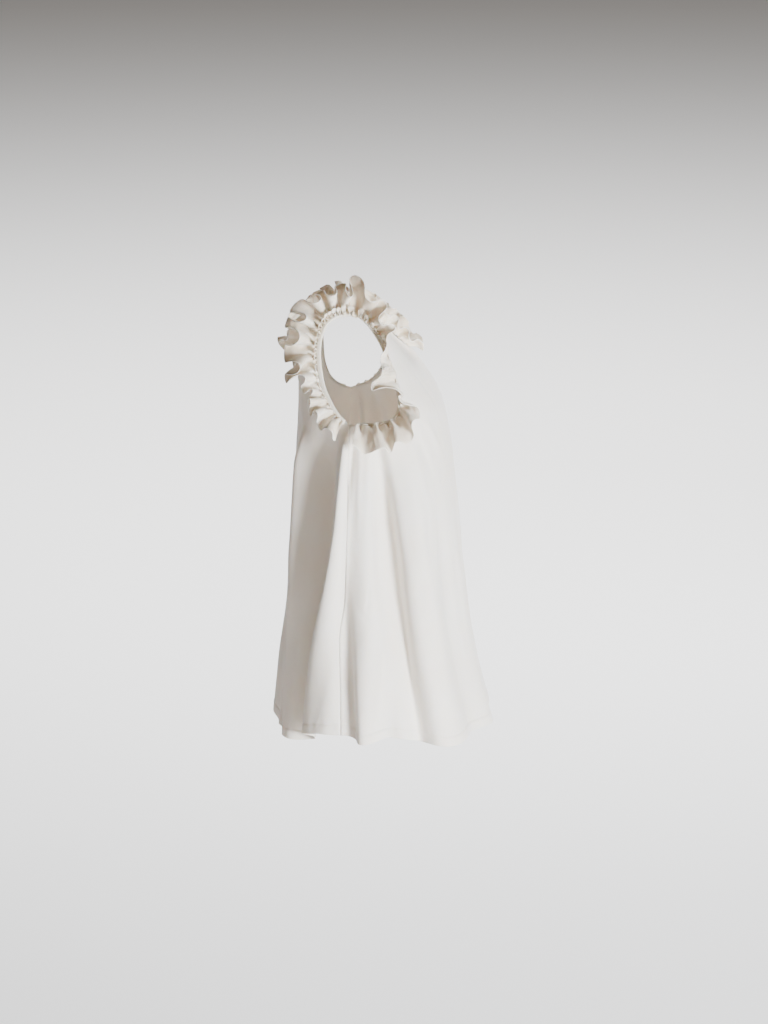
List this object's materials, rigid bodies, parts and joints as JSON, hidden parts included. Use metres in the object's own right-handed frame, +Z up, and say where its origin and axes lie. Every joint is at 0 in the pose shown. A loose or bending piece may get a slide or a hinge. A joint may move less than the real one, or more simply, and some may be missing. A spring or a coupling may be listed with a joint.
{
  "type": "sleeveless ruffle dress",
  "caption": "Sleeveless A-line mini dress of crisp cream cloth, worn shape and empty, with gathered ruffles round both armholes and the neck.",
  "frame": {"origin": "midway between the two shoulder straps, at their height, where the wearer's shoulders carry the dress", "axes": "+Z up, -X to the wearer's front, -Y to the wearer's left side"},
  "size_m": [0.4234, 0.554, 0.8807],
  "materials": {
    "front_panel": "matte",
    "back_panel": "matte",
    "armhole_binding_left": "matte",
    "armhole_binding_right": "matte",
    "armhole_ruffle_left": "matte",
    "armhole_ruffle_right": "matte",
    "neck_ruffle": "matte"
  },
  "bodies": {
    "root": {"front_panel": "front_panel", "back_panel": "back_panel", "armhole_binding_left": "armhole_binding_left", "armhole_binding_right": "armhole_binding_right", "armhole_ruffle_left": "armhole_ruffle_left", "armhole_ruffle_right": "armhole_ruffle_right", "neck_ruffle": "neck_ruffle"}
  },
  "joints": []
}
